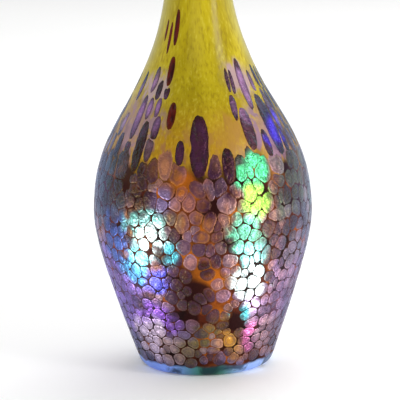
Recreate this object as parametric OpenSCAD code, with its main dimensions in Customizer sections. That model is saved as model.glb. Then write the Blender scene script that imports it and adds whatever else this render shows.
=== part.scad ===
// Hand-blown bottle vase in cased art glass, millimetres.
//
// The vase is built up as a glassblower builds it. A lining of opal glass is
// blown first. A gather of honey-amber glass is cased over it and forms the
// foot, the outer wall and the lip. Chips of silvered glass are then picked up
// hot and rolled in. Low on the body they stay round and pack into scales. On
// the shoulder and the neck the drawn glass stretches them into long drops.
//
// Origin: centre of the foot, on the surface that the vase stands on. +Z is up.
// Azimuth 0 faces -Y, and grows to the right for someone who looks along +Y.

/* [Body] */
// Height of the whole vase, from foot to lip
total_h = 290; // [270:1:320]
// Diameter at the widest point of the belly
belly_d = 110; // [92:1:132]
// Height of the widest point
belly_z = 79; // [66:1:92]
// Diameter that the side wall would have at the table, before its heel is rounded
foot_d = 66; // [54:1:76]
// Outward lean of the side wall at the foot, in degrees
foot_lean = 19.3; // [12:0.1:24]
// Radius of the rounded heel
heel_r = 5; // [3:0.5:7]

/* [Neck] */
// Diameter at the narrowest point of the neck
neck_d = 27.3; // [22.3:0.2:32.3]
// Height of the narrowest point
neck_z = 226; // [200:1:240]
// Diameter across the everted lip
lip_d = 46; // [36:0.5:56]
// Outward lean of the lip, in degrees
lip_lean = 52; // [30:1:60]

/* [Glass] */
// Thickness of the opal lining
lining_t = 1.2; // [0.8:0.1:2]
// Thickness of the amber casing on the side wall
casing_t = 2; // [1.5:0.1:3]
// Thickness of the amber casing under the lining, above the hollow of the foot
base_t = 5; // [3:0.5:8]
// Height at which the rounded bottom of the inside meets the side wall
bowl_z = 24; // [20:1:32]

/* [Foot] */
// Width of the flat ring that the vase stands on
ring_w = 5; // [3:0.5:8]
// Rise of the hollow inside the ring
kick_h = 2; // [1:0.5:3]
// Diameter of the polished pontil mark
pontil_d = 22; // [14:1:26]
// Depth of the polished pontil mark
pontil_h = 1; // [0.5:0.1:1.5]

/* [Scales] */
// Height of the lowest row of scales
first_z = 9.5; // [9:0.5:13]
// Distance between the two lowest rows
row_pitch = 4.6; // [4.4:0.1:6]
// Growth of that distance from each row to the next, as the glass is drawn up
row_growth = 1.035; // [1:0.005:1.04]
// Rows of round scales
scale_rows = 17; // [13:1:17]
// Distance between neighbours in a row
scale_pitch = 6.5; // [6:0.1:9]
// Share of the places that hold two small scales instead of one
pair_share = 0.14; // [0:0.01:0.3]
// Gap of bare glass between two scales
scale_gap = 0.5; // [0.3:0.05:0.9]
// Thickness of a scale
scale_t = 0.35; // [0.25:0.05:0.6]

/* [Drops] */
// Rows of drawn drops above the scales
drop_rows = 4; // [2:1:5]
// Distance between the two lowest rows of drops
drop_pitch = 9.5; // [8:0.5:11]
// Width of the largest drops
drop_w = 5.6; // [3.5:0.1:6.5]
// Length of the largest drops
drop_l = 17; // [10:0.5:18]
// Share of the places in the lowest row that hold a drop
drop_share = 0.95; // [0.3:0.05:1]
// Half width of the clear window that the rows leave at the front, in degrees
front_clear = 26; // [0:1:60]
// Height that a drop stands proud of the casing
drop_t = 0.35; // [0.25:0.05:0.6]

/* [Hidden] */
$fn = 96;

// Shape of the side wall: how far each end of a curve pulls it along its own
// direction, as a share of that curve's height.
foot_pull = 0.456;
belly_pull_down = 0.2;
belly_pull_up = 0.374;
neck_pull_down = 0.635;
neck_pull_up = 0.5;
lip_pull = 0.3;
bowl_pull_out = 0.75;
bowl_pull_down = 0.7;

span_steps = 28;   // straight steps in each span of the outline
bowl_steps = 14;   // and in the rounded bottom of the inside
arc_steps = 8;     // and in the heel and the lip
scale_sides = 8;   // corners of a scale
drop_sides = 12;   // corners of a drop
seat_clear = 0.03; // clearance under a scale or a drop
band_tops = [0, 4, 8, 12, scale_rows];

wall_t = lining_t + casing_t;

// ---- curves -----------------------------------------------------------------

function bezier(a, b, c, d, t) =
    pow(1 - t, 3) * a + 3 * pow(1 - t, 2) * t * b + 3 * (1 - t) * t * t * c + t * t * t * d;

function span(a, b, c, d, steps, from = 0) =
    [for (i = [from : steps]) bezier(a, b, c, d, i / steps)];

// The side wall's outer face, as [radius, height], before the heel is rounded.
foot_span = span([foot_d / 2, 0],
                 [foot_d / 2, 0] + foot_pull * belly_z * [sin(foot_lean), cos(foot_lean)],
                 [belly_d / 2, belly_z * (1 - belly_pull_down)],
                 [belly_d / 2, belly_z], span_steps);
shoulder_span = span([belly_d / 2, belly_z],
                     [belly_d / 2, belly_z + belly_pull_up * (neck_z - belly_z)],
                     [neck_d / 2, neck_z - neck_pull_down * (neck_z - belly_z)],
                     [neck_d / 2, neck_z], span_steps * 2, 1);
lip_along = [sin(lip_lean), cos(lip_lean)];
lip_out = [cos(lip_lean), -sin(lip_lean)];
lip_centre = [lip_d / 2 - wall_t / 2, total_h - wall_t / 2];
lip_end = lip_centre + wall_t / 2 * lip_out;
neck_span = span([neck_d / 2, neck_z],
                 [neck_d / 2, neck_z + neck_pull_up * (lip_end[1] - neck_z)],
                 lip_end - lip_pull * (lip_end[1] - neck_z) * lip_along,
                 lip_end, span_steps, 1);
raw_side = concat(foot_span, shoulder_span, neck_span);

// The heel is an arc that runs smoothly from the flat ring into the leaning side wall.
function as_table(points) = [for (p = points) [p[1], p[0]]];
heel_z = heel_r * (1 - sin(foot_lean));
ring_out = lookup(heel_z, as_table(raw_side)) - heel_r * cos(foot_lean);
heel_arc = [for (i = [0 : arc_steps])
            let (a = (90 - foot_lean) * i / arc_steps)
            [ring_out + heel_r * sin(a), heel_r * (1 - cos(a))]];
side = concat(heel_arc, [for (p = raw_side) if (p[1] > heel_z + 1) p]);
side_table = as_table(side);

function wall_r(z) = lookup(z, side_table);
// Lean of the wall from the vertical, in degrees, positive where it widens upwards.
function wall_lean(z) = atan((wall_r(z + 1) - wall_r(z - 1)) / 2);

// The outer face moved into the glass by t, from bowl_z up to the lip.
function unit(v) = v / norm(v);
function along_side(i) = i == len(side) - 1 ? lip_along : unit(side[i + 1] - side[max(i - 1, 0)]);
function into_glass(i, t) = side[i] - t * [along_side(i)[1], -along_side(i)[0]];
function inner_side(t) = [for (i = [0 : len(side) - 1]) if (side[i][1] > bowl_z) into_glass(i, t)];

// The inner face of a layer: a rounded bottom from the axis, then the side wall.
function bowl(t, bottom) =
    let (wall = inner_side(t), rise = wall[0][1] - bottom)
    concat(span([0, bottom], [bowl_pull_out * wall[0][0], bottom],
                wall[0] - bowl_pull_down * rise * unit(wall[1] - wall[0]), wall[0], bowl_steps),
           [for (i = [1 : len(wall) - 1]) wall[i]]);

// The fire-polished lip, a half circle over the edge of the wall. The lining starts at lip_split.
lip_split = acos(1 - 2 * casing_t / wall_t);
function lip_arc(from, to, first = 0) = [for (i = [first : arc_steps])
    let (a = from + (to - from) * i / arc_steps)
    lip_centre + wall_t / 2 * (cos(a) * lip_out + sin(a) * lip_along)];

lining_bottom = kick_h + pontil_h + base_t;
inside_bottom = lining_bottom + lining_t;
joint_face = bowl(casing_t, lining_bottom);
inside_face = bowl(wall_t, inside_bottom);

function down_from(list, last) = [for (i = [last : -1 : 0]) list[i]];

// ---- layout of the chips ----------------------------------------------------

// A fixed number from 0 to 1 for each place, so that the scatter never changes.
function scatter(row, place, kind) =
    let (s = sin(row * 127.1 + place * 311.7 + kind * 74.7) * 43758.5453) s - floor(s);

function row_z(row) = first_z + row_pitch *
    (row_growth == 1 ? row : (pow(row_growth, row) - 1) / (row_growth - 1));

// Places in a row. The azimuth is the middle of a place, moved by its scatter.
function places(z, pitch) = round(2 * PI * wall_r(z) / pitch);

// A chip is [azimuth, height, half width, half length].
// Some places hold two small chips side by side instead of one.
function scale_place(row, place) =
    let (z = row_z(row), n = places(z, scale_pitch), rise = row_z(row + 1) - z,
         size = 0.72 + 0.6 * scatter(row, place, 3),
         azimuth = 360 * (place + 0.5 * (row % 2) + 0.6 * (scatter(row, place, 1) - 0.5)) / n,
         height = z + 0.6 * rise * (scatter(row, place, 2) - 0.5))
    scatter(row, place, 4) > pair_share ?
        [[azimuth, height, 0.6 * scale_pitch * size, 0.69 * rise * size]] :
        [for (hand = [-1, 1]) [azimuth + hand * 90 / n, height + hand * 0.2 * rise,
                               0.3 * scale_pitch, 0.4 * rise * size]];

// Where the real scatter leaves the casing bare: [azimuth, height, radius].
bare_patches = [[-3, 53, 6], [9, 40, 4], [20, 30, 6], [-8, 33, 3.5], [-46, 101, 6], [4, 88, 3],
                [130, 46, 6], [-120, 62, 6], [175, 78, 5]];

// Large drops, chosen one by one: [azimuth, height, half width, half length].
large_drops = [[-1.5, 118, 4.9, 17], [15, 109, 3.2, 9], [-13, 115, 2, 6], [-41, 117, 3.2, 14],
               [-51, 130, 2.4, 13], [33, 125, 3.4, 12], [54, 125, 4.2, 18], [43, 145, 2.4, 15],
               [65, 131, 2.4, 13], [27, 147, 0.9, 6], [92, 127, 3, 15], [124, 122, 3.6, 16],
               [163, 126, 4.4, 18], [-84, 127, 3, 15], [-112, 121, 3.6, 15], [-149, 125, 4, 17]];
// Slim maroon drops from the upper shoulder to the neck, in the same form.
slim_drops = [[-22, 132, 2.4, 8], [-31, 152, 2, 8.5], [-32.6, 172.5, 1.5, 10], [-42, 167.5, 1, 9],
              [-51, 171, 0.8, 6], [97, 158, 1.6, 9], [112, 173, 0.9, 8], [151, 168, 1.2, 9],
              [208, 160, 1.6, 8], [232, 177, 0.8, 7]];
chosen_drops = concat(large_drops, slim_drops);

function turn_to(a, b) = let (d = b[0] - a[0]) d - 360 * round(d / 360);
// The way along the wall from chip a to chip b, as [right, up].
function way(a, b) = [turn_to(a, b) * PI / 180 * (wall_r(a[1]) + wall_r(b[1])) / 2,
                      (b[1] - a[1]) / cos(wall_lean((a[1] + b[1]) / 2))];
function on_bare(chip) = len([for (b = bare_patches) if (norm(way(chip, b)) < b[2]) 1]) > 0;

// The straight edge that chip a leaves beside the large drop b, as [outward normal, distance].
function edge_beside(b, a) =
    let (d = way(b, a), v = unit([d[0] / b[2], d[1] / b[3]]), n = unit([v[0] / b[2], v[1] / b[3]]))
    [n, n * (d - [v[0] * b[2], v[1] * b[3]]) - scale_gap];
function clear_of_large(chip) =
    min([for (b = chosen_drops) edge_beside(b, chip)[1] - 0.35 * chip[2]]) > 0;
function beside(edge, dir) = -(edge[0] * dir) <= 0.05 ? 1000 : edge[1] / -(edge[0] * dir);

function scale_row(row) = row < 0 || row >= scale_rows ? [] :
    [for (i = [0 : places(row_z(row), scale_pitch) - 1]) for (chip = scale_place(row, i))
        if (!on_bare(chip) && clear_of_large(chip)) chip];

// Two chips meet where their outlines would, so each gets its share of the way.
function reach(chip, dir) = 1 / norm([dir[0] / chip[2], dir[1] / chip[3]]);
function limit(a, b, dir) =
    let (d = way(a, b), u = unit(d), facing = dir * u)
    facing <= 0.05 ? 1000 :
    (norm(d) * reach(a, u) / (reach(a, u) + reach(b, u)) - scale_gap / 2) / facing;
function near(a, list) = [for (b = list) let (far = norm(way(a, b)))
    if (far > 0.01 && far < 2.2 * max(a[2], a[3], b[2], b[3])) b];
function outline(chip, others, sides) =
    let (edges = [for (b = chosen_drops) let (edge = edge_beside(b, chip))
                  if (edge[1] < max(chip[2], chip[3])) edge])
    [for (i = [0 : sides - 1])
        let (a = 360 * i / sides, dir = unit([chip[2] * cos(a), chip[3] * sin(a)]))
        dir * max(0.3, min(concat([reach(chip, dir)], [for (b = others) limit(chip, b, dir)],
                                  [for (edge = edges) beside(edge, dir)])))];
// A large drop keeps its whole oval, with blunt ends.
function oval(chip, sides) = [for (i = [0 : sides - 1]) let (a = 360 * i / sides)
    [chip[2] * sign(cos(a)) * pow(abs(cos(a)), 0.8), chip[3] * sin(a)]];

// ---- drops ------------------------------------------------------------------

drop_first_z = row_z(scale_rows) + 0.2 * drop_pitch;
function drop_row_z(row) = drop_first_z + drop_pitch * row;
// A drop is narrower where the glass was drawn out more.
function drawn(z) = wall_r(z) / (belly_d / 2);
function drop_chip(row, place, n) =
    let (z = drop_row_z(row), size = 0.7 + 0.3 * scatter(row, place, 5))
    [360 * (place + 0.5 * (row % 2) + 0.4 * (scatter(row, place, 6) - 0.5)) / n,
     z + 0.35 * drop_pitch * (scatter(row, place, 7) - 0.5),
     drop_w / 2 * size * drawn(z),
     min(drop_l, 2 * drop_pitch - 1.5) / 2 * size];
// The rows leave a window at the front, and thin out upwards.
function in_window(chip) = abs(turn_to([0], chip)) < front_clear;
function drop_row(row) = row < 0 || row >= drop_rows ? [] :
    let (z = drop_row_z(row), n = places(z, 1.5 * drop_w * drawn(z)))
    [for (i = [0 : n - 1]) let (chip = drop_chip(row, i, n))
        if (scatter(row, i, 8) < drop_share * (1 - row / (drop_rows + 3))
            && !in_window(chip) && clear_of_large(chip)) chip];
// The chips in the two rows above and below a row, and in the row itself. Drops follow scales.
function any_row(row) = row < scale_rows ? scale_row(row) : drop_row(row - scale_rows);
function around(row) = [for (other = [row - 2 : row + 2]) each any_row(other)];

// ---- pieces -----------------------------------------------------------------

module turned(points) rotate_extrude() polygon(points);

module opal_lining() color("khaki")
    turned(concat(joint_face, lip_arc(lip_split, 180), down_from(inside_face, len(inside_face) - 2)));

module foot_hollow() {
    pontil_r = pontil_d / 2;
    ball_r = (pontil_r * pontil_r + pontil_h * pontil_h) / (2 * pontil_h);
    ring_in = ring_out - ring_w;
    rotate_extrude() polygon([[0, -1], [ring_in, -1], [ring_in, 0],
                              [(ring_in + pontil_r) / 2, kick_h * 0.75],
                              [pontil_r, kick_h], [0, kick_h]]);
    translate([0, 0, kick_h + pontil_h - ball_r]) sphere(ball_r);
}

module amber_casing() color("darkgoldenrod") difference() {
    turned(concat([[0, 0]], side, lip_arc(0, lip_split, 1), down_from(joint_face, len(joint_face) - 1)));
    foot_hollow();
}

// How far a flat scale has to stand off a wall that curves out towards it at either end.
function stand_off(chip) =
    let (z = chip[1], lean = wall_lean(z))
    max([for (s = [-chip[3], chip[3]]) let (rise = s * cos(lean), out = wall_r(z + rise) - wall_r(z))
         out * cos(lean) - rise * sin(lean)]);

// Sets its children on the casing at the place of a chip, flat side down.
module on_wall(chip) {
    z = chip[1];
    rotate(chip[0]) translate([0, -wall_r(z), z]) rotate([90 + wall_lean(z), 0, 0])
        translate([0, 0, seat_clear + max(0, stand_off(chip))]) children();
}

module scale_band(band, tint) color(tint)
    for (row = [band_tops[band] : band_tops[band + 1] - 1]) {
        others = around(row);
        for (chip = scale_row(row)) on_wall(chip) linear_extrude(scale_t)
            polygon(outline(chip, near(chip, others), scale_sides));
    }

// A thin skin that follows the wall between two heights, seat_clear off the casing.
module skin(from, to, t) {
    heights = concat([from], [for (p = side) if (p[1] > from + 0.2 && p[1] < to - 0.2) p[1]], [to]);
    turned(concat([for (z = heights) [wall_r(z) + seat_clear, z]],
                  [for (i = [len(heights) - 1 : -1 : 0]) [wall_r(heights[i]) + seat_clear + t, heights[i]]]));
}

// A drop is the part of such a skin within its outline.
module drop(chip, edge) {
    upright = cos(wall_lean(chip[1]));
    half_l = chip[3] * upright;
    intersection() {
        skin(chip[1] - half_l - 1, chip[1] + half_l + 1, drop_t);
        rotate(chip[0]) translate([0, 0, chip[1]]) rotate([90, 0, 0]) linear_extrude(belly_d)
            polygon([for (p = edge) [p[0], p[1] * upright]]);
    }
}

module shoulder_drops() color("rebeccapurple") {
    for (chip = large_drops) drop(chip, oval(chip, 16));
    for (row = [0 : drop_rows - 1]) {
        others = around(scale_rows + row);
        for (chip = drop_row(row)) drop(chip, outline(chip, near(chip, others), drop_sides));
    }
}

module neck_drops() color("maroon") for (chip = slim_drops) drop(chip, oval(chip, 16));

opal_lining();
amber_casing();
scale_band(0, "darkslateblue");  // heel_scales
scale_band(1, "mediumpurple");  // lower_scales
scale_band(2, "thistle");  // middle_scales
scale_band(3, "mediumaquamarine");  // upper_scales
shoulder_drops();
neck_drops();
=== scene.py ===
# %% [markdown]
# # A blown bottle vase in iridescent art glass
#
# The vase is made hot, in layers. A glassblower gathers opal yellow glass, cases it in clear
# honey amber, and rolls the soft bubble over crushed chips of silvered glass. The chips melt in
# and spread into round scales. Then the neck is pulled out, and where the wall stretches, the
# chips stretch with it into long drops. Last, metal vapour leaves a film that turns the light
# blue, green, violet and pink.
#
# The lesson follows that order: the two gathers, the scales, the drops, and then the finishes.
# The CAD model arrives first, as a fixed frame: each new piece stands for one of its nodes.

import bisect
import math
import random

import bmesh
import bpy
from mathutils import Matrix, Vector, geometry, noise
from mathutils.bvhtree import BVHTree


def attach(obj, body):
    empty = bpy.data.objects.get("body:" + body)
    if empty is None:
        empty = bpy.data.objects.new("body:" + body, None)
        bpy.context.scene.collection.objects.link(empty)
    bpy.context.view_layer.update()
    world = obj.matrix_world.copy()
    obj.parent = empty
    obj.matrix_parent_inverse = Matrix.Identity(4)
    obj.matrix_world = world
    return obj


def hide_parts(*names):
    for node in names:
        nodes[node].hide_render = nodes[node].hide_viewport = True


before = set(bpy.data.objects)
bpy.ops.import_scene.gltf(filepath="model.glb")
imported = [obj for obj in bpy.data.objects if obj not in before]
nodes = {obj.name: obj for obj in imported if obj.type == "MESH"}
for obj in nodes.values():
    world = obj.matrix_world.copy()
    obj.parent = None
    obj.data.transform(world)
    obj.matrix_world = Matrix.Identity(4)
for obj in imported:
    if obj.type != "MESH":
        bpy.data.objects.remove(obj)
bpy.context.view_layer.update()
print("CAD nodes:", sorted(nodes))

# %% [markdown]
# ## The outline of the wall
#
# A turned shape is one curve and an axis. A lathe would cut it, a blower swings and rolls it, and
# in Blender it can be drawn as a few Bézier curves: foot to belly, belly to neck, neck to lip.
# Each curve is pulled along its own direction at both ends, so the pieces run on smoothly. The
# sizes are those of the CAD model, and the check below shows that the two agree.

# %% Sizes of the turned shape
MM = 0.001
TOTAL_HEIGHT = 290 * MM
BELLY_RADIUS, BELLY_HEIGHT = 55 * MM, 79 * MM
FOOT_RADIUS, FOOT_LEAN, HEEL_RADIUS = 33 * MM, math.radians(19.3), 5 * MM
NECK_RADIUS, NECK_HEIGHT = 13.65 * MM, 226 * MM
LIP_RADIUS, LIP_LEAN = 23 * MM, math.radians(52)
CASING, LINING = 2 * MM, 1.2 * MM
WALL = CASING + LINING
RING_WIDTH, HOLLOW, PONTIL_RADIUS, PONTIL_DEPTH = 5 * MM, 2 * MM, 11 * MM, 1 * MM
BASE, BOWL_HEIGHT = 5 * MM, 24 * MM

# How far each end of a curve is pulled along its own direction, as a share of the curve's rise.
FOOT_PULL, BELLY_PULL_DOWN, BELLY_PULL_UP = 0.456, 0.8, 0.374
NECK_PULL_DOWN, NECK_PULL_UP, LIP_PULL = 0.635, 0.5, 0.3
HEEL_STEPS, BELLY_STEPS, NECK_STEPS, LIP_STEPS = 12, 60, 110, 44
print("vase", round(2 * BELLY_RADIUS / MM), "mm wide and", round(TOTAL_HEIGHT / MM), "mm tall, wall",
      round(WALL / MM, 1), "mm")


# %% Curves of the outline
def curve(a, a_pull, b_pull, b, steps):
    """Points of a Bézier curve from a to b as (radius, height), without a itself."""
    points = []
    for i in range(1, steps + 1):
        t = i / steps
        s = 1 - t
        points.append(s**3 * a + 3 * s * s * t * a_pull + 3 * s * t * t * b_pull + t**3 * b)
    return points


foot = Vector((FOOT_RADIUS, 0))
belly = Vector((BELLY_RADIUS, BELLY_HEIGHT))
neck = Vector((NECK_RADIUS, NECK_HEIGHT))
lip_along = Vector((math.sin(LIP_LEAN), math.cos(LIP_LEAN)))
lip_out = Vector((math.cos(LIP_LEAN), -math.sin(LIP_LEAN)))
lip_centre = Vector((LIP_RADIUS - WALL / 2, TOTAL_HEIGHT - WALL / 2))
lip_edge = lip_centre + WALL / 2 * lip_out
rise = neck.y - belly.y
flare = lip_edge.y - neck.y
leaning = Vector((math.sin(FOOT_LEAN), math.cos(FOOT_LEAN)))

wall_curve = curve(foot, foot + FOOT_PULL * belly.y * leaning,
                   Vector((belly.x, BELLY_PULL_DOWN * belly.y)), belly, BELLY_STEPS)
wall_curve += curve(belly, belly + Vector((0, BELLY_PULL_UP * rise)),
                    neck - Vector((0, NECK_PULL_DOWN * rise)), neck, NECK_STEPS)
wall_curve += curve(neck, neck + Vector((0, NECK_PULL_UP * flare)),
                    lip_edge - LIP_PULL * flare * lip_along, lip_edge, LIP_STEPS)

print(len(wall_curve), "points on the three curves")

# %% The heel: an arc between the flat ring and the leaning wall
heel_top = HEEL_RADIUS * (1 - math.sin(FOOT_LEAN))
low_wall = next(p for p in wall_curve if p.y > heel_top)
ring_outer = (low_wall.x - (low_wall.y - heel_top) * math.tan(FOOT_LEAN)
              - HEEL_RADIUS * math.cos(FOOT_LEAN))
heel_turn = math.pi / 2 - FOOT_LEAN
outside = [Vector((ring_outer + HEEL_RADIUS * math.sin(a), HEEL_RADIUS * (1 - math.cos(a))))
           for a in (heel_turn * i / HEEL_STEPS for i in range(HEEL_STEPS + 1))]
outside += [p for p in wall_curve if p.y > heel_top + 0.6 * MM]
print(len(outside), "points from the foot ring to the lip; ring radius",
      round(ring_outer / MM, 2), "mm")

# %% Radius and lean of the wall at any height
outside_heights = [p.y for p in outside]


def wall_radius(z):
    """Outer radius of the vase at a height."""
    i = min(max(bisect.bisect(outside_heights, z), 1), len(outside) - 1)
    a, b = outside[i - 1], outside[i]
    return a.x + (b.x - a.x) * (z - a.y) / (b.y - a.y)


casing_tree = BVHTree.FromObject(nodes["amber_casing"], bpy.context.evaluated_depsgraph_get())
gaps = [casing_tree.find_nearest(Vector((0, -p.x, p.y)))[3] for p in outside]
print("largest distance from the CAD casing:", round(max(gaps) / MM, 3), "mm")

# %% [markdown]
# ## The two gathers
#
# On the real vase the casing is a second dip into the furnace, 2 mm thick, and the opal lining is
# the first one, seen only at the mouth. Both are turned shapes, so each is drawn as one closed
# section. A vertex is extruded along the section, and Spin carries it round the axis. Spin leaves
# doubled points where the ring closes and at both poles, so they are merged before the normals are
# set to face out.


# %% The faces inside the wall
def inwards(depth):
    """The side of the wall moved into the glass, from the rounded bottom up to the lip."""
    moved = []
    for i, p in enumerate(outside):
        along = lip_along if p is outside[-1] else outside[i + 1] - outside[max(i - 1, 0)]
        along = along.normalized()
        if p.y > BOWL_HEIGHT:
            moved.append(p - depth * Vector((along.y, -along.x)))
    return moved


def bowl(depth, bottom):
    """An inner face: a rounded bottom from the axis, then the side wall."""
    side = inwards(depth)
    down = (side[1] - side[0]).normalized() * 0.7 * (side[0].y - bottom)
    middle = Vector((0, bottom))
    rounded = curve(middle, Vector((0.75 * side[0].x, bottom)), side[0] - down, side[0], 20)
    return [middle] + rounded + side[1:]


def lip_arc(start, end, steps=8):
    """Points over the round edge of the lip, without the first, from angle start to end."""
    angles = [start + (end - start) * i / steps for i in range(1, steps + 1)]
    return [lip_centre + WALL / 2 * (math.cos(a) * lip_out + math.sin(a) * lip_along) for a in angles]


lip_split = math.acos(1 - 2 * CASING / WALL)
lining_bottom = HOLLOW + PONTIL_DEPTH + BASE
joint_face = bowl(CASING, lining_bottom)
inner_face = bowl(WALL, lining_bottom + LINING)
print("the lining starts", round(lining_bottom / MM, 1), "mm above the table")


# %% The hollow under the foot, and the two closed sections
ball = (PONTIL_RADIUS**2 + PONTIL_DEPTH**2) / (2 * PONTIL_DEPTH)
pontil = [Vector((r, HOLLOW + PONTIL_DEPTH - ball + math.sqrt(ball**2 - r * r)))
          for r in (PONTIL_RADIUS * i / 6 for i in range(7))]
ring_inner = ring_outer - RING_WIDTH
hollow_side = curve(pontil[-1], Vector((15 * MM, 2 * MM)), Vector((20 * MM, 1.6 * MM)),
                    Vector((ring_inner, 0)), 8)
casing_section = pontil + hollow_side + outside + lip_arc(0, lip_split) + joint_face[::-1]
lining_section = joint_face + lip_arc(lip_split, math.pi) + inner_face[-2::-1]
print(len(casing_section), "and", len(lining_section), "points in the two sections")


# %% Turn a section
AROUND = 144  # steps of the spin
SHARP = math.radians(35)  # edges that turn more than this stay sharp


def nothing_selected():
    bpy.ops.object.select_all(action="DESELECT")


def turn(name, section):
    """Extrudes a vertex along a section and spins it round the axis into a closed shape."""
    nothing_selected()
    start = section[0]
    bpy.ops.mesh.primitive_plane_add(size=MM, location=(start.x, 0, start.y))
    piece = bpy.context.object
    piece.name = piece.data.name = name
    bpy.ops.object.mode_set(mode="EDIT")
    bpy.ops.mesh.select_all(action="SELECT")
    bpy.ops.mesh.merge(type="CENTER")
    for a, b in zip(section, section[1:]):
        bpy.ops.mesh.extrude_vertices_move(TRANSFORM_OT_translate={"value": (b.x - a.x, 0, b.y - a.y)})
    bpy.ops.mesh.select_all(action="SELECT")
    bpy.ops.mesh.spin(steps=AROUND, angle=math.tau, center=(0, 0, 0), axis=(0, 0, 1))
    bpy.ops.mesh.select_all(action="SELECT")
    bpy.ops.mesh.remove_doubles(threshold=0.02 * MM)
    bpy.ops.mesh.normals_make_consistent(inside=False)
    bpy.ops.object.mode_set(mode="OBJECT")
    bpy.ops.object.transform_apply(location=True, rotation=True, scale=True)
    bpy.ops.object.shade_smooth_by_angle(angle=SHARP)
    print(name, len(piece.data.polygons), "faces")
    return piece


casing = turn("casing_glass", casing_section)
lining = turn("lining_glass", lining_section)

# %% [markdown]
# ## The scales and the drops
#
# Each scale is a chip that melted in: a low pillow with a soft edge, and no two outlines alike.
# They could be sculpted one by one, or scattered by an array. Here the chip is modelled once, a
# disc with a few inset rings, and each copy is laid on the outline that the CAD model gives for
# its place. So every scale of the CAD model is there, in its place, with a rounder edge.


# %% Model one chip
def model_chip(name, corners, rings):
    """A disc of radius 1 with inset rings. The CAD outline gives each copy its shape later."""
    nothing_selected()
    bpy.ops.mesh.primitive_circle_add(vertices=corners, radius=1, fill_type="TRIFAN")
    chip = bpy.context.object
    chip.name = name
    bpy.ops.object.mode_set(mode="EDIT")
    bpy.ops.mesh.select_all(action="SELECT")
    for width in rings:
        bpy.ops.mesh.inset(thickness=width)
    bpy.ops.object.mode_set(mode="OBJECT")
    print(name, len(chip.data.polygons), "faces, rings at",
          sorted({round(v.co.length, 2) for v in chip.data.vertices}))
    return chip


scale_chip = model_chip("scale_chip", 16, (0.1, 0.18, 0.3))
drop_chip = model_chip("drop_chip", 22, (0.09, 0.15, 0.22, 0.24))

# %% [markdown]
# ## Where the chips lie
#
# A melted chip has a place on the wall, an outline, and neighbours. The places could be typed in
# again, but then they might drift from the CAD model. So each solid of a CAD node is read: its
# middle gives the place, and the hull of its corners, unrolled from the wall, gives the outline.


# %% Separate the solids of a CAD node
WELD = 1e-6  # corners closer than this, in metres, are the same corner


def solids_of(node):
    """The corners of each separate solid in a CAD node, sorted from the foot up."""
    mesh = bmesh.new()
    mesh.from_mesh(nodes[node].data)
    bmesh.ops.remove_doubles(mesh, verts=mesh.verts, dist=WELD)
    mesh.verts.ensure_lookup_table()
    seen, solids = set(), []
    for first in mesh.verts:
        if first.index in seen:
            continue
        seen.add(first.index)
        waiting, corners = [first], []
        while waiting:
            vert = waiting.pop()
            corners.append(vert.co.copy())
            for other in (edge.other_vert(vert) for edge in vert.link_edges):
                if other.index not in seen:
                    seen.add(other.index)
                    waiting.append(other)
        solids.append(corners)
    mesh.free()
    return sorted(solids, key=lambda corners: (round(min(c.z for c in corners), 5),
                                               round(corners[0].x, 5)))


print("the first heel scale has", len(solids_of("heel_scales")[0]), "corners")


# %% The place of a chip
ROOM = 6 * MM  # chips further apart than this can't meet as they spread


def around(a, b):
    """Angle from azimuth b to azimuth a, the short way round."""
    return (a - b + math.pi) % math.tau - math.pi


class Place:
    """Where a chip lies: azimuth, height, half width, half length and its outline on the wall."""

    def __init__(self, corners):
        middle = sum(corners, Vector()) / len(corners)
        self.azimuth = math.atan2(middle.x, -middle.y)
        low, high = min(c.z for c in corners), max(c.z for c in corners)
        self.height, self.half_length = (low + high) / 2, (high - low) / 2
        self.radius = wall_radius(self.height)
        turned = [around(math.atan2(c.x, -c.y), self.azimuth) for c in corners]
        self.half_width = (max(turned) - min(turned)) / 2 * self.radius
        flat = [Vector((a * self.radius, c.z - self.height)) for a, c in zip(turned, corners)]
        self.outline = [flat[i] for i in geometry.convex_hull_2d(flat)]

    def seen_from(self, other):
        """The outline in the flat plane of another chip."""
        shift = Vector((around(self.azimuth, other.azimuth) * other.radius,
                        self.height - other.height))
        return [point + shift for point in self.outline]

    def near(self, other):
        """True where the two chips could touch once they have spread."""
        across = abs(around(self.azimuth, other.azimuth)) * self.radius
        upwards = abs(self.height - other.height)
        return (across < self.half_width + other.half_width + ROOM
                and upwards < self.half_length + other.half_length + ROOM)


places = {node: [Place(corners) for corners in solids_of(node)]
          for node in ("heel_scales", "lower_scales", "middle_scales", "upper_scales",
                       "shoulder_drops", "neck_drops")}
everywhere = [place for band in places.values() for place in band]
print({node: len(band) for node, band in places.items()})

# %% [markdown]
# ## Letting the chips spread
#
# In the furnace the chips soften and spread until they nearly touch, with a thread of dark amber
# between them. Offsetting every outline by the same amount would leave gaps here and overlaps
# there. So from the middle of a chip a ray is cast along each spoke, and the chip stops halfway
# to the first neighbour it meets. Above the belly, where the wall was pulled, it runs upwards.


# %% Spread a chip towards its neighbours
TINY = 1e-6
FARTHEST = 3.0  # lengths of a spoke that a ray looks along
DRAW_BACK = 0.05  # the most that a crowded chip gives way, in lengths of a spoke
PULLED_FROM, ROUND_UP_TO, PULLED = 100 * MM, 6 * MM, 1.8


def first_hit(outline, direction, farthest):
    """How far a ray from the middle goes before it meets an outline, in lengths of direction."""
    for a, b in zip(outline, outline[1:] + outline[:1]):
        edge = b - a
        across = direction.x * edge.y - direction.y * edge.x
        if abs(across) > 1e-12:
            far = (a.x * edge.y - a.y * edge.x) / across
            along = (a.x * direction.y - a.y * direction.x) / across
            if TINY < far < farthest and -TINY <= along <= 1 + TINY:
                farthest = far
    return farthest


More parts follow.
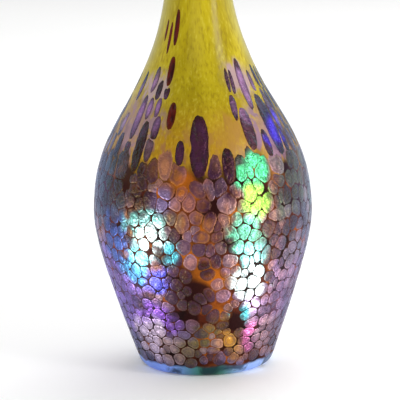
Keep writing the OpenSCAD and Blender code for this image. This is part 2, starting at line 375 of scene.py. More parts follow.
def spread(place, spokes, most, seam):
    """The reach of a chip along each spoke: its CAD outline, moved out by up to most."""
    pulled = place.height > PULLED_FROM and place.half_length < ROUND_UP_TO
    stretch = PULLED if pulled else 0.0
    neighbours = [other.seen_from(place) for other in everywhere
                  if other is not place and other.near(place)]
    reaches = []
    for spoke in spokes:
        direction = Vector((spoke.x * place.half_width, spoke.y * place.half_length))
        own = first_hit(place.outline, direction, FARTHEST)
        open_to = own + 2 * most * (1 + stretch * max(spoke.y, 0)) / direction.length
        for outline in neighbours:
            open_to = first_hit(outline, direction, open_to)
        reaches.append(own + max((open_to - own) / 2 - seam / 2 / direction.length, -DRAW_BACK))
    return reaches


four_spokes = [Vector((1, 0)), Vector((0, 1)), Vector((-1, 0)), Vector((0, -1))]
print("one scale reaches", [round(r, 2) for r in spread(everywhere[200], four_spokes, MM, 0)],
      "times its half width or half length")

# %% [markdown]
# ## Laying the chips
#
# A chip of this glass stands proud by a tenth of a millimetre, and its rim runs under the amber.
# A Boolean would cut such a rim, at a great cost for hundreds of chips. Laying each copy of the
# disc on the wall by its corners is quicker: its middle swells, its rim is sunk, and a small tilt
# makes the light catch each one differently. Two attributes go with it: how far a corner is from
# the middle, and a tone by which neighbours differ.


# %% Lay one chip on the wall
SUNK, SWELL, TILT = 0.11 * MM, 0.09 * MM, 0.04 * MM
SEAM = 0.15 * MM  # amber left between two chips
LOWEST = 1.5 * MM  # no chip runs under the foot


def dome(rho):
    """Height of a chip above the wall, from its middle at 0 to its buried rim at 1."""
    return -SUNK if rho > 0.99 else SWELL * math.sqrt(1 - 0.8 * rho**3)


def lay_chip(master, place, number, most, chance):
    """A copy of the chip with its own mesh, laid on one CAD outline."""
    mesh = master.data.copy()
    count = sum(1 for v in mesh.vertices if v.co.length > 0.99)
    spokes = [Vector((math.cos(a), math.sin(a))) for a in (math.tau * i / count for i in range(count))]
    raw = [r * chance.uniform(0.95, 1)
           for r in spread(place, spokes, most * chance.uniform(0.6, 1), SEAM)]
    rounded = [0.2 * raw[i - 1] + 0.6 * raw[i] + 0.2 * raw[(i + 1) % count] for i in range(count)]
    lean_x, lean_y = chance.uniform(-1, 1), chance.uniform(-1, 1)
    rims = mesh.attributes.new("rim", "FLOAT", "POINT")
    tones = mesh.attributes.new("tone", "FLOAT", "POINT")
    tone = chance.random()
    for v in mesh.vertices:
        rho = v.co.length
        spoke = round(math.atan2(v.co.y, v.co.x) / math.tau * count) % count
        flat = rho * rounded[spoke] * spokes[spoke]
        z = max(place.height + flat.y * place.half_length, LOWEST)
        radius = wall_radius(z) + dome(rho) + TILT * (lean_x * flat.x + lean_y * flat.y)
        a = place.azimuth + flat.x * place.half_width / place.radius
        v.co = (radius * math.sin(a), -radius * math.cos(a), z)
        rims.data[v.index].value = rho
        tones.data[v.index].value = tone
    chip = bpy.data.objects.new(f"{master.name}_{number}", mesh)
    bpy.context.collection.objects.link(chip)
    return chip


print("a chip's height above the wall, mm:", [round(dome(rho) / MM, 3) for rho in (0, 0.4, 0.7, 0.9, 1)])


# %% Lay a band of chips
def lay_band(name, node, master, most, seed):
    """One piece with a chip for each solid of a CAD node."""
    chance = random.Random(seed)
    chips = [lay_chip(master, place, i, most, chance) for i, place in enumerate(places[node])]
    nothing_selected()
    for chip in chips:
        chip.select_set(True)
    bpy.context.view_layer.objects.active = chips[0]
    bpy.ops.object.join()
    band = bpy.context.object
    band.name = band.data.name = name
    bpy.ops.object.mode_set(mode="EDIT")
    bpy.ops.mesh.select_all(action="SELECT")
    bpy.ops.mesh.normals_make_consistent(inside=False)
    bpy.ops.object.mode_set(mode="OBJECT")
    bpy.ops.object.shade_smooth()
    print(name, len(chips), "chips,", len(band.data.polygons), "faces")
    return band


heel = lay_band("heel_glass", "heel_scales", scale_chip, 1.3 * MM, 11)
lower = lay_band("lower_glass", "lower_scales", scale_chip, 1.3 * MM, 12)
middle = lay_band("middle_glass", "middle_scales", scale_chip, 1.5 * MM, 13)
upper = lay_band("upper_glass", "upper_scales", scale_chip, 2.4 * MM, 14)
shoulder = lay_band("shoulder_glass", "shoulder_drops", drop_chip, 0.7 * MM, 15)
slivers = lay_band("neck_glass", "neck_drops", drop_chip, 0.1 * MM, 16)
for master in (scale_chip, drop_chip):
    bpy.data.objects.remove(master)

# %% [markdown]
# ## The blower's hand
#
# A blown wall is never as true as a turned one. A slow noise, a fifth of a millimetre high, moves
# all the pieces together, so that the reflections wander a little and the scales stay on the wall.
# A Displace modifier on each piece could do it, but a loop over all the corners leaves nothing to
# apply, and the waves can fade out towards the foot, which has to stay flat on the table.

# %% Move every piece by the same slow waves
WAVE_HEIGHT, WAVE_LENGTH, WAVE_START = 0.2 * MM, 26 * MM, 9 * MM
for piece in (casing, lining, heel, lower, middle, upper, shoulder, slivers):
    for v in piece.data.vertices:
        if v.co.z > heel_top:
            out = Vector((v.co.x, v.co.y, 0)).normalized()
            rising = min(1, (v.co.z - heel_top) / WAVE_START)
            v.co += WAVE_HEIGHT * noise.noise(v.co / WAVE_LENGTH) * rising * out
    piece.data.update()
widest = max(math.hypot(v.co.x, v.co.y) for v in casing.data.vertices)
print("waves of", WAVE_HEIGHT / MM, "mm; the casing is at most", round(2 * widest / MM, 1), "mm wide")

# %% [markdown]
# ## Writing finishes as sums
#
# A finish is a sum of masks: how far from the rim, how high on the vase, how close to a bloom of
# colour. Blender keeps such a sum as a web of nodes. The small class below wraps a node's output,
# so that `1 - mask` or `a * b` adds the Math node for it, and a colour goes through Mix.


# %% A socket that can be added and multiplied
class Value:
    """A number or colour that changes over the surface."""

    def __init__(self, web, socket):
        self.web, self.socket = web, socket

    def maths(self, operation, a, b):
        return self.web.add("ShaderNodeMath", {"operation": operation}, {0: a, 1: b})

    def __add__(self, other): return self.maths("ADD", self, other)
    def __radd__(self, other): return self.maths("ADD", other, self)
    def __sub__(self, other): return self.maths("SUBTRACT", self, other)
    def __rsub__(self, other): return self.maths("SUBTRACT", other, self)
    def __mul__(self, other): return self.maths("MULTIPLY", self, other)
    def __rmul__(self, other): return self.maths("MULTIPLY", other, self)

    def step(self, low, high, to_low=0.0, to_high=1.0):
        """A soft step: to_low below low, to_high above high."""
        return self.web.add("ShaderNodeMapRange", {"interpolation_type": "SMOOTHSTEP"},
                            {"Value": self, "From Min": low, "From Max": high,
                             "To Min": to_low, "To Max": to_high})


class Web:
    """A node tree, and the one method that adds any node to it."""

    def __init__(self, tree):
        self.tree = tree

    def add(self, kind, settings, values, output=0):
        """Adds a node: its settings first, then a number, colour or Value for each socket."""
        node = self.tree.nodes.new(kind)
        for key, value in settings.items():
            setattr(node, key, value)
        for key, value in values.items():
            self.give(node.inputs[key], value)
        return node if output is None else Value(self, node.outputs[output])

    def give(self, socket, value):
        """Links a Value to a socket, or sets a number or a colour on it."""
        if isinstance(value, Value):
            self.tree.links.new(value.socket, socket)
        else:
            socket.default_value = value


def tint(red, green, blue):
    """A colour given as it looks on a screen, from 0 to 255, as the light that makes it."""
    def linear(c):
        c /= 255
        return c / 12.92 if c <= 0.04045 else ((c + 0.055) / 1.055) ** 2.4
    return (linear(red), linear(green), linear(blue), 1.0)


print("honey as light:", [round(c, 3) for c in tint(170, 152, 20)])


# %% A finish and its masks
class Finish(Web):
    """A material, its Principled shader, and the masks that its sums are made of."""

    def __init__(self, name, constants):
        self.material = bpy.data.materials.new(name)
        self.material.use_nodes = True
        super().__init__(self.material.node_tree)
        self.shader = self.tree.nodes["Principled BSDF"]
        for key, value in constants.items():
            self.shader.inputs[key].default_value = value
        self.place = self.add("ShaderNodeTexCoord", {}, {}, "Object")
        parts = self.add("ShaderNodeSeparateXYZ", {}, {0: self.place}, None)
        self.x, self.y, self.z = (Value(self, parts.outputs[i]) for i in range(3))

    def mix(self, mask, a, b):
        """Colour a where the mask is 0, colour b where it is 1."""
        return self.add("ShaderNodeMix", {"data_type": "RGBA"}, {0: mask, 6: a, 7: b}, 2)

    def noise(self, vector, scale, detail=2.0, distortion=0.0):
        """A cloudy pattern from 0 to 1, with about scale clouds to a metre."""
        return self.add("ShaderNodeTexNoise", {},
                        {"Vector": vector, "Scale": scale, "Detail": detail,
                         "Distortion": distortion})

    def stretched(self, across, upwards):
        """Object coordinates scaled by across around the vase and by upwards along it."""
        return self.add("ShaderNodeVectorMath", {"operation": "MULTIPLY"},
                        {0: self.place, 1: (across, across, upwards)})

    def attribute(self, name):
        """A number that each corner of the mesh carries."""
        return self.add("ShaderNodeAttribute", {"attribute_name": name}, {}, "Fac")

    def close_to(self, azimuth, height, radius, soft=1.0, wander=0.0):
        """A soft round mask on the wall, 1 in its middle. A noise in wander makes its edge run."""
        r, a = wall_radius(height * MM), math.radians(azimuth)
        spot = (r * math.sin(a), -r * math.cos(a), height * MM)
        far = self.add("ShaderNodeVectorMath", {"operation": "DISTANCE"},
                       {0: self.place, 1: spot}, "Value")
        if isinstance(wander, Value):
            far = far + (wander - 0.5) * (1.5 * radius * MM)
        return far.step(radius * MM, radius * MM * (1 - soft))

    def bump(self, height, distance, strength=1.0):
        """Relief too fine for the mesh: a height from 0 to 1, and what 1 stands for in metres."""
        return self.add("ShaderNodeBump", {},
                        {"Height": height, "Distance": distance, "Strength": strength})

    def put(self, **links):
        """Gives the shader's sockets: base_color stands for Base Color, and so on."""
        for key, value in links.items():
            self.give(self.shader.inputs[key.replace("_", " ").title()], value)


print("a finish has", ", ".join(name for name in vars(Finish) if not name.startswith("_")))

# %% [markdown]
# ## Blooms of colour
#
# The film on the scales is thinner than a wavelength of light, and its thickness wanders with the
# heat of the wall. So the colours come in blooms a few centimetres wide: cyan that runs to blue
# and violet on one side, green that runs to pearl and pink on the other. Where the lamps are
# mirrored, the blooms are painted highlights as well, with white cores, and on the flanks they
# paint the sheen. Each bloom is a place on the wall, a radius, a colour and how metallic it looks
# there. One smooth noise could place such colours too, but it would put them anywhere, so they
# are listed: azimuth in degrees from the front, height and radius in millimetres.

# %% Blooms of film colour and painted reflection: azimuth, height, radius, colour, metallic share
# film colour, with painted highlights and sheen where the lamps are mirrored
FILM_AND_REFLECTION_BLOOMS = [
    # both flanks, grey-blue and violet, with the painted sheen of the flanks
    (-66, 98, 40, (76, 88, 108), 0.5), (64, 100, 40, (92, 98, 84), 0.5),
    (-62, 45, 38, (128, 100, 184), 0.65), (60, 44, 36, (120, 92, 130), 0.5),
    (60, 70, 22, (86, 82, 96), 0.5),
    # the brown and lilac band above the belly
    (-8, 96, 24, (146, 92, 80), 0.15), (10, 97, 13, (106, 92, 114), 0.3),
    (17, 84, 10, (122, 118, 116), 0.3), (-22, 92, 11, (140, 122, 166), 0.4),
    (-24, 110, 15, (156, 100, 54), 0.1), (6, 112, 12, (156, 108, 80), 0.15),
    (-14, 84, 9, (150, 130, 104), 0.3),
    # left of the front, cyan and pearl that run down to violet: painted highlight of the left cards,
    # white core
    (-52, 72, 20, (66, 92, 160), 0.75), (-40, 58, 13, (74, 150, 200), 0.9),
    (-6, 72, 13, (104, 78, 94), 0.2), (-31, 79, 17, (140, 232, 220), 0.9),
    (-35, 66, 12, (130, 226, 232), 0.9), (-29, 74, 15, (226, 252, 246), 0.9),
    (-19, 66, 9, (90, 196, 214), 0.9), (-26, 53, 13, (88, 92, 206), 0.8),
    (-33, 29, 16, (146, 96, 206), 0.8), (-40, 18, 17, (204, 184, 212), 0.6),
    (-24, 15, 12, (176, 150, 156), 0.4), (-12, 14, 11, (128, 112, 80), 0.15),
    # right of the front, green and pearl that run down to pink: painted highlight of the right lamps,
    # white core
    (28, 105, 15, (84, 208, 140), 0.9), (29, 91, 13, (160, 222, 84), 0.9),
    (22, 75, 15, (120, 220, 176), 0.9), (26, 63, 14, (144, 234, 222), 0.9),
    (26, 50, 15, (232, 252, 250), 0.9), (30, 38, 8, (226, 190, 242), 0.9),
    (22, 33, 9, (70, 184, 194), 0.8), (33, 20, 12, (236, 124, 186), 0.8),
    (50, 20, 16, (150, 120, 140), 0.5), (22, 11, 8, (150, 112, 90), 0.3),
    # the middle of the front, amber and brown
    (-3, 52, 20, (126, 68, 28), 0.1), (7, 24, 16, (104, 92, 54), 0.15),
    (16, 20, 10, (206, 150, 62), 0.1), (-9, 45, 16, (34, 20, 46), 0.1),
    (-12, 100, 6, (170, 96, 30), 0.0),
    # round the back
    (104, 84, 36, (98, 136, 140), 0.6), (120, 40, 34, (150, 104, 190), 0.7),
    (150, 74, 32, (98, 108, 168), 0.65), (165, 30, 32, (122, 122, 178), 0.6),
    (180, 92, 32, (128, 156, 118), 0.55), (-160, 60, 30, (180, 148, 188), 0.65),
    (-140, 30, 32, (108, 146, 164), 0.6), (-110, 90, 32, (110, 100, 180), 0.7),
    (-125, 66, 28, (120, 178, 164), 0.65), (-100, 36, 30, (130, 96, 200), 0.7),
]
print(len(FILM_AND_REFLECTION_BLOOMS), "blooms")

# %% Where painted shade darkens the scales, and where they melt together, some under painted sheen: azimuth, height, radius
SHADOWS = [
    (-46, 102, 24), (-47, 101, 15), (-36, 94, 10), (4, 89, 7), (20, 29, 8), (-22, 66, 6),
    (-7, 45, 12), (-2, 34, 7), (14, 96, 6), (0, 60, 5), (12, 72, 5), (135, 50, 14), (-118, 60, 12),
    (178, 76, 10),
]
MERGED_AND_SHEEN = [
    (-54, 44, 34), (64, 36, 28), (-70, 96, 30), (76, 96, 30), (-12, 96, 16), (170, 60, 30),
]
print(len(SHADOWS), "dark places,", len(MERGED_AND_SHEEN), "melted ones")

# %% Blooms on the drops, film colour with painted sheen and glint: azimuth, height, radius, colour, metallic share
# film colour; the lavender on the flanks is painted sheen, the violet-blue one a painted glint
DROP_FILM_AND_REFLECTION_BLOOMS = [
    (-50, 134, 24, (150, 108, 160), 0.4), (40, 142, 20, (150, 108, 152), 0.4),
    (58, 122, 16, (78, 60, 214), 0.8), (-80, 110, 26, (76, 80, 112), 0.4),
    (84, 112, 26, (62, 54, 68), 0.2), (-60, 106, 12, (52, 48, 106), 0.6),
    (130, 126, 30, (120, 110, 200), 0.6), (-140, 126, 30, (150, 104, 176), 0.6),
]
print(len(DROP_FILM_AND_REFLECTION_BLOOMS), "blooms on the drops")

# %% [markdown]
# ## The lustre of the scales
#
# A silvered chip is half mirror and half dark glass. It could be a glass shader over a metal one,
# but the film's colours would then drown in what lies under them. A Principled shader that is part
# metal, with a thin film on it, keeps them clear. On top of the tone of each chip come, in this
# order: a mottle, the blooms with their painted highlights and sheen, amber that seeps over the
# chips, the painted shadows, and last the ring and the dark edge that a chip gets where it is thin.

# %% Stains that all the chips share
FILM, FILM_IOR = 380.0, 1.33  # thickness in nanometres, and how strongly it bends light
SEEP, PALE, SHADOW = tint(146, 88, 26), tint(190, 150, 172), tint(30, 6, 10)
SMOKE, RING, EDGE = tint(36, 20, 34), tint(52, 32, 62), tint(34, 12, 14)
print("a film of", FILM, "nm")


# %% The lustre
def lustre(name, node, ground, metal, blooms, drawn=1.0, amber_share=0.5, rim_from=0.86):
    """A chip of silvered glass: a pale middle, a ring, a dark edge, and blooms of film and painted
    reflection.
    """
    low = min(place.height - place.half_length for place in places[node]) / MM - 2
    high = max(place.height + place.half_length for place in places[node]) / MM + 5

    def reaching(patches):
        """The patches that reach this band; a running edge goes to 1.75 times the radius."""
        return [p for p in patches if p[1] + 1.75 * p[2] > low and p[1] - 1.75 * p[2] < high]

    f = Finish(name, {"IOR": 1.5, "Specular IOR Level": 0.1, "Coat Roughness": 0.12, "Coat IOR": 1.5,
                      "Thin Film Thickness": FILM, "Thin Film IOR": FILM_IOR,
                      "Specular Tint": (0.8, 0.76, 1.0, 1.0)})
    rim, tone = f.attribute("rim"), f.attribute("tone")
    drift = f.noise(f.place, 75.0, 3.0, 0.5)
    mottle = f.noise(f.stretched(120.0, 120.0 / drawn), 1.0, 2.5, 0.8)
    seep = f.noise(f.stretched(42.0 * math.sqrt(drawn), 42.0 / drawn), 1.0, 3.0, 0.5)
    seep = seep.step(0.48, 0.62)
    colour = f.mix(tone.step(0.1, 0.9), tint(*ground[0]), tint(*ground[1]))
    colour = f.mix(0.7 * tone.step(0.72, 0.8), colour, tint(*ground[2]))
    colour = f.mix(0.5 * mottle.step(0.5, 0.7), colour, tint(*ground[1]))
    colour = f.mix(0.6 * mottle.step(0.48, 0.32), colour, tint(*ground[3]))
    metallic = metal + 0.15 * tone
    # the blooms: film colour, with painted highlight and sheen where the lamps are mirrored
    for azimuth, height, radius, hue, share in reaching(blooms):
        mask = f.close_to(azimuth, height, radius, 0.9, drift) * (0.85 + 0.4 * tone)
        mask = mask.step(0.0, 0.8)
        colour = f.mix(mask, colour, tint(*hue))
        metallic = metallic + mask * (share - metallic)
    colour = f.mix(amber_share * seep * (1.0 - metallic).step(0.3, 0.7), colour, SEEP)
    plain = (1.0 - metallic).step(0.2, 0.6)
    colour = f.mix(0.6 * tone.step(0.42, 0.15) * plain, colour, tint(*ground[3]))
    colour = f.mix(0.3 * tone.step(0.7, 0.95) * plain, colour, PALE)
    coat = 0.08 * tone
    for azimuth, height, radius in reaching(SHADOWS):
        shade_pool = f.close_to(azimuth, height, radius, 0.8, drift)
        colour = f.mix(0.95 * shade_pool, colour, SHADOW)
        metallic, coat = metallic * (1 - 0.9 * shade_pool), coat * (1 - shade_pool)
    colour = f.mix(0.35 * mottle.step(0.46, 0.36), colour, tint(*ground[3]))
    clear = f.noise(f.place, 60.0, 2.0, 0.5).step(0.36, 0.54)
    colour = f.mix(0.5 - 0.5 * clear, colour, SMOKE)
    ring = rim.step(0.4, 0.55) * rim.step(0.84, 0.7)
    colour = f.mix(0.34 * ring, colour, RING)
    edge = rim.step(rim_from, 0.97) * (0.45 + drift).step(0.6, 1.0, 0.4, 1.0)
    # where chips melt together, and where the painted sheen of the flanks lies over them, the dark edges
    # fade
    for azimuth, height, radius in reaching(MERGED_AND_SHEEN):
        edge = edge * (1 - 0.7 * f.close_to(azimuth, height, radius))
    colour = f.mix(0.9 * edge, colour, EDGE)
    crinkle = f.noise(f.place, 480.0, 3.0, 0.8)
    f.put(base_color=colour, metallic=metallic * (1 - 0.7 * edge),
          roughness=0.18 + 0.2 * f.noise(f.place, 240.0, 2.0), coat_weight=coat * (1 - edge),
          normal=f.bump(crinkle + 0.6 * mottle, 0.8 * MM, 0.9))
    print(name, len(f.tree.nodes), "nodes")
    return f.material


# %% A ground for each band: a darker chip, a paler one, an odd one, and the mottle
BROWN, DARK = (104, 84, 66), (40, 18, 32)
finishes = {
    heel: lustre("blue_lustre", "heel_scales",
                 ((72, 66, 112), (128, 108, 142), (104, 104, 70), DARK), 0.25, FILM_AND_REFLECTION_BLOOMS),
    lower: lustre("violet_lustre", "lower_scales",
                  ((80, 60, 102), (142, 106, 134), (104, 90, 70), DARK), 0.25, FILM_AND_REFLECTION_BLOOMS),
    middle: lustre("pearl_lustre", "middle_scales",
                   ((76, 52, 82), (142, 102, 112), BROWN, DARK), 0.2, FILM_AND_REFLECTION_BLOOMS),
    upper: lustre("green_lustre", "upper_scales",
                  ((74, 46, 66), (140, 98, 92), BROWN, DARK), 0.15, FILM_AND_REFLECTION_BLOOMS, drawn=3.0, amber_share=0.85),
    shoulder: lustre("purple_glass", "shoulder_drops",
                     ((46, 18, 36), (86, 46, 74), (68, 26, 26), (24, 8, 18)), 0.15, DROP_FILM_AND_REFLECTION_BLOOMS,
                     drawn=4.0, amber_share=0.0, rim_from=0.56),
}

# %% [markdown]
# ## Amber casing
#
# Above the scales the casing shows bare: honey yellow, with fine lines where bubbles and cords in
# the glass were drawn out along the neck. Between the scales it is seen deep and dark, brown to
# maroon, with patches of orange where the opal behind it catches the light. Real refraction
# through four surfaces would need a very long render to come out clean, so the depth is painted:
# bare honey above, the dark ground below, and a band of blue film on the heel.

# %% Where painted shade darkens the ground between the scales: azimuth, height, radius
SHADE_POOLS = [
    (-46, 101, 12), (-36, 92, 7), (20, 30, 8), (-5, 46, 13), (4, 90, 8), (-21, 60, 6), (-9, 33, 6),
    (6, 101, 7), (130, 46, 12), (-120, 62, 12), (175, 78, 10),
]
print(len(SHADE_POOLS), "dark pools")

# %% Where a thin haze of film lies on the bare honey, the pale ones with painted sheen: azimuth, height, radius, colour
FILM_HAZE_AND_SHEEN = [
    (-52, 126, 26, (140, 112, 128)), (-44, 144, 13, (168, 144, 150)),
    (53, 122, 26, (132, 104, 130)), (42, 148, 14, (160, 132, 142)), (80, 124, 34, (34, 22, 22)),
    (-84, 116, 30, (78, 60, 62)), (18, 122, 18, (156, 116, 46)), (120, 124, 24, (130, 104, 120)),
    (-130, 124, 24, (130, 100, 110)), (165, 120, 18, (116, 96, 120)),
]
print(len(FILM_HAZE_AND_SHEEN), "hazes")

# %% Where the ground glows orange: azimuth, height, radius
ORANGE_POOLS = [
    (-24, 97, 8), (-4, 97, 7), (-2, 78, 7), (16, 86, 6), (5, 52, 13), (8, 36, 8), (-8, 66, 9),
    (2, 22, 10), (-12, 104, 9), (-160, 40, 14), (90, 84, 14),
]
print(len(ORANGE_POOLS), "orange pools")


# %% The amber glass
def amber(name):
    f = Finish(name, {"IOR": 1.5, "Specular IOR Level": 0.04, "Coat Roughness": 0.2, "Coat IOR": 1.5})
    fine = f.noise(f.stretched(800.0, 26.0), 1.0, 2.0)
    broad = f.noise(f.stretched(90.0, 9.0), 1.0, 2.0)
    cloud = f.noise(f.place, 75.0, 4.0, 0.6)
    honey = f.mix(broad.step(0.35, 0.65), tint(148, 130, 8), tint(170, 152, 20))
    honey = f.mix(0.7 * f.z.step(0.145, 0.115), honey, tint(172, 122, 24))
    honey = f.mix(0.5 * fine.step(0.5, 0.7), honey, tint(122, 98, 14))
    honey = f.mix(0.4 * fine.step(0.45, 0.3), honey, tint(192, 176, 60))
    smear = f.noise(f.stretched(260.0, 30.0), 1.0, 3.0, 0.3).step(0.46, 0.62)
    honey = f.mix(0.75 * smear * f.z.step(0.134, 0.112), honey, tint(140, 92, 70))
    # painted sheen: the two sides of the neck, seen edge-on from the front, are paler olive; front and
    # back stay golden
    neck_side_sheen = f.y.step(-0.016, -0.004) * f.y.step(0.016, 0.006) * f.z.step(0.135, 0.165)
    honey = f.mix(0.5 * neck_side_sheen, honey, tint(150, 148, 88))
    # film haze, and where it is pale on the shoulder's flanks a painted sheen
    for azimuth, height, radius, hue in FILM_HAZE_AND_SHEEN:
        haze_and_sheen = f.close_to(azimuth, height, radius) * (0.5 + 1.1 * smear)
        honey = f.mix(0.85 * haze_and_sheen.step(0.0, 0.7), honey, tint(*hue))
    deep = f.mix(cloud.step(0.42, 0.6), tint(24, 7, 6), tint(72, 28, 12))
    deep = f.mix(cloud.step(0.6, 0.72), deep, tint(150, 78, 20))
    for azimuth, height, radius in ORANGE_POOLS:
        glow = f.close_to(azimuth, height, radius, 1.0, cloud)
        deep = f.mix(0.9 * glow, deep, tint(164, 88, 18))
    # the four on the flanks: the violet of their painted sheen is laid on the amber too
    for azimuth, height, radius in MERGED_AND_SHEEN[:4]:  # the flanks, where the amber is filmed as well
        deep = f.mix(0.8 * f.close_to(azimuth, height, radius), deep, tint(72, 52, 78))
    low = (f.z + 0.03 * (cloud - 0.5)).step(0.118, 0.1)
    colour = f.mix(low, honey, deep)
    # painted shade: the ground between the scales goes near black in these pools
    for azimuth, height, radius in SHADE_POOLS:
        shade_pool = (f.close_to(azimuth, height, radius) * (0.4 + 1.2 * cloud)).step(0.1, 0.6)
        colour = f.mix(0.95 * shade_pool, colour, tint(32, 8, 8))
    rim = (f.z + 0.004 * (broad - 0.5)).step(0.0066, 0.0046)
    band = f.mix(f.x.step(-0.022, 0.0), tint(142, 174, 255), tint(62, 130, 102))
    band = f.mix(f.x.step(0.004, 0.022), band, tint(168, 198, 255))
    band = f.mix(0.8 * cloud.step(0.5, 0.6), band, tint(34, 44, 66))
    colour = f.mix(rim, colour, band)
    f.put(base_color=colour, metallic=0.7 * rim,
          roughness=0.26 + 0.16 * fine + 0.12 * low * (1 - rim),
          coat_weight=0.3 * (1 - 0.95 * low), normal=f.bump(fine + 0.5 * broad, 0.2 * MM, 0.5))
    print(name, len(f.tree.nodes), "nodes")
    return f.material


finishes[casing] = amber("amber_glass")

# %% [markdown]
# ## Opal lining and maroon slivers
#
# The lining is milky yellow and shows only inside the mouth. The slivers are dark red glass, drawn
# thin, with a browner edge where the amber flows over them. A plain colour would look like
# plastic, so each gets streaks along the pull, as two short sums.


# %% The other two finishes
def opal(name):
    f = Finish(name, {"Roughness": 0.25, "IOR": 1.5, "Coat Weight": 0.6, "Coat Roughness": 0.08})
    swirl = f.noise(f.stretched(60.0, 10.0), 1.0, 3.0)
    f.put(base_color=f.mix(swirl.step(0.3, 0.7), tint(206, 172, 74), tint(232, 214, 138)),
          roughness=0.2 + 0.15 * swirl, normal=f.bump(swirl, 0.2 * MM, 0.4))
    return f.material


def maroon(name):
    f = Finish(name, {"IOR": 1.5, "Specular IOR Level": 0.15, "Coat Weight": 0.1, "Coat Roughness": 0.08})
    rim, tone = f.attribute("rim"), f.attribute("tone")
    streak = f.noise(f.stretched(300.0, 30.0), 1.0, 2.0)
    body = f.mix(streak.step(0.35, 0.65), tint(40, 4, 2), tint(88, 18, 8))
    f.put(base_color=f.mix(rim.step(0.6, 1.0), body, tint(84, 34, 8)),
          roughness=0.16 + 0.1 * tone, normal=f.bump(streak, 0.2 * MM, 0.5))
    return f.material


finishes[lining] = opal("opal_glass")
finishes[slivers] = maroon("maroon_glass")
for piece, material in finishes.items():
    piece.data.materials.clear()
    piece.data.materials.append(material)
print(len(finishes), "finishes,", sum(len(m.node_tree.nodes) for m in finishes.values()), "nodes")

# %% [markdown]
# ## Tying the pieces to the CAD model
#
# Nothing on the vase moves, so every piece rides on the one body. Each stands for its CAD node,
# which is hidden. Joining all the glass into one object would look the same, but then no one could
# take the scales off or change only the lining.

# %% Ride and replace
stands_for = {
    casing: ("amber_casing", "amber_glass"), lining: ("opal_lining", "opal_glass"),
    heel: ("heel_scales", "blue_lustre"), lower: ("lower_scales", "violet_lustre"),
    middle: ("middle_scales", "pearl_lustre"), upper: ("upper_scales", "green_lustre"),
    shoulder: ("shoulder_drops", "purple_glass"), slivers: ("neck_drops", "maroon_glass"),
}
for piece, (node, slot) in stands_for.items():
    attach(piece, "root")
    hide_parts(node)
print(len(stands_for), "pieces")

# %% [markdown]
# ## The studio
#
# Glass shows what stands round it. A pale table and a white backdrop give the soft edges, and the
# room behind the camera stays dim, so that the middle of the vase keeps its depth. A tall strip
# light stands to the right. White cards lie on the table on both sides: they give the highlights
# on the lower half, which looks down at the table, where no lamp on a stand could be mirrored.

# %% Floor
nothing_selected()
bpy.ops.mesh.primitive_plane_add(size=6, location=(0, 1.6, 0))
floor = bpy.context.object
floor.name = "floor"
paint = Finish("floor_paint", {"Roughness": 0.7, "Emission Color": (1, 1, 1, 1),
                               "Emission Strength": 0.14})
clouds = paint.noise(paint.place, 3.0)
paint.put(base_color=paint.mix(clouds, tint(243, 243, 242), tint(247, 247, 247)))
floor.data.materials.append(paint.material)
print(floor.name, [round(side, 1) for side in floor.dimensions], "m")

# %% Lights
CENTRE = Vector((0, 0, 0.1))


def light(name, azimuth, distance, height, size, power, aim=CENTRE):
    """A soft rectangular light, size (across, along), that the camera doesn't see."""
    a = math.radians(azimuth)
    lamp = bpy.data.lights.new(name, "AREA")
    lamp.shape, (lamp.size, lamp.size_y), lamp.energy = "RECTANGLE", size, power
    source = bpy.data.objects.new(name, lamp)
    bpy.context.collection.objects.link(source)
    source.location = (distance * math.sin(a), -distance * math.cos(a), height)
    source.rotation_euler = (aim - source.location).to_track_quat("-Z", "Y").to_euler()
    source.visible_camera = False
    return source


def card(name, azimuth, near, far, fan, glow):
    """A lit card flat on the table, from near to far, as wide as fan degrees at its middle."""
    middle_way = (near + far) / 2
    width = 2 * middle_way * math.tan(math.radians(fan / 2))
    flat = light(name, azimuth, middle_way, 2 * MM, (width, far - near),
                 glow * math.pi * width * (far - near))
    flat.rotation_euler = (math.pi, 0, math.radians(azimuth))
    return flat


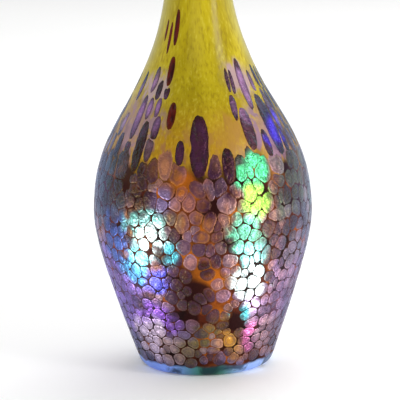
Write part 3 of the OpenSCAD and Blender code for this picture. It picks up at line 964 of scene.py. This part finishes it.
light("right_strip", 53, 0.75, 0.30, (0.22, 0.62), 3.8)
light("front_fill", -8, 1.6, 0.9, (1.2, 0.8), 3)
light("top_fill", 150, 1.2, 1.4, (1.4, 1.4), 12)
for number, (near, far) in enumerate(((0.07, 0.14), (0.14, 0.28), (0.28, 0.6))):
    card(f"right_card_{number}", 52, near, far, 19, 9)
for number, (near, far) in enumerate(((0.1, 0.2), (0.2, 0.45))):
    card(f"left_card_{number}", -60, near, far, 24, 10)
print({lamp.name: round(lamp.energy, 2) for lamp in bpy.data.lights}, "W")

# %% World: white behind the vase, dim behind the camera, plain white where it is seen itself
world = bpy.data.worlds.new("studio")
bpy.context.scene.world = world
world.use_nodes = True
sky = Web(world.node_tree)
background = sky.tree.nodes["Background"]
background.inputs["Color"].default_value = (1, 1, 1, 1)
direction = sky.add("ShaderNodeTexCoord", {}, {}, "Generated")
backwards = sky.add("ShaderNodeSeparateXYZ", {}, {0: direction}, "Y")
room = backwards.step(-0.7, 0.5, 0.25, 1.0)
seen = sky.add("ShaderNodeLightPath", {}, {}, "Is Camera Ray")
sky.give(background.inputs["Strength"], sky.add("ShaderNodeMix", {}, {0: seen, 2: room, 3: 1.0}))
bpy.context.scene.view_settings.view_transform = "Standard"
print(world.name, len(sky.tree.nodes), "nodes")

# %% [markdown]
# ## The camera
#
# The view is a long lens a metre away and a little above the vase, aimed low, so that the neck runs
# out of the frame. A short lens close by would swell the belly. The camera is turned by just over a
# degree about its own axis.

# %% Camera
CAMERA_PLACE, LOOK_AT = Vector((0, -1.0, 0.282)), Vector((-0.00137, 0, 0.0832))
lens = bpy.data.cameras.new("camera")
lens.sensor_width, lens.lens = 36.0, 181.6
lens.clip_start, lens.clip_end = 0.05, 20.0
camera = bpy.data.objects.new("camera", lens)
bpy.context.collection.objects.link(camera)
camera.location = CAMERA_PLACE
camera.rotation_euler = (LOOK_AT - CAMERA_PLACE).to_track_quat("-Z", "Y").to_euler()
camera.rotation_euler.rotate_axis("Z", math.radians(-1.3))
bpy.context.scene.camera = camera
print("lens", round(lens.lens, 1), "mm,", round((LOOK_AT - CAMERA_PLACE).length, 3), "m away")

# %% [markdown]
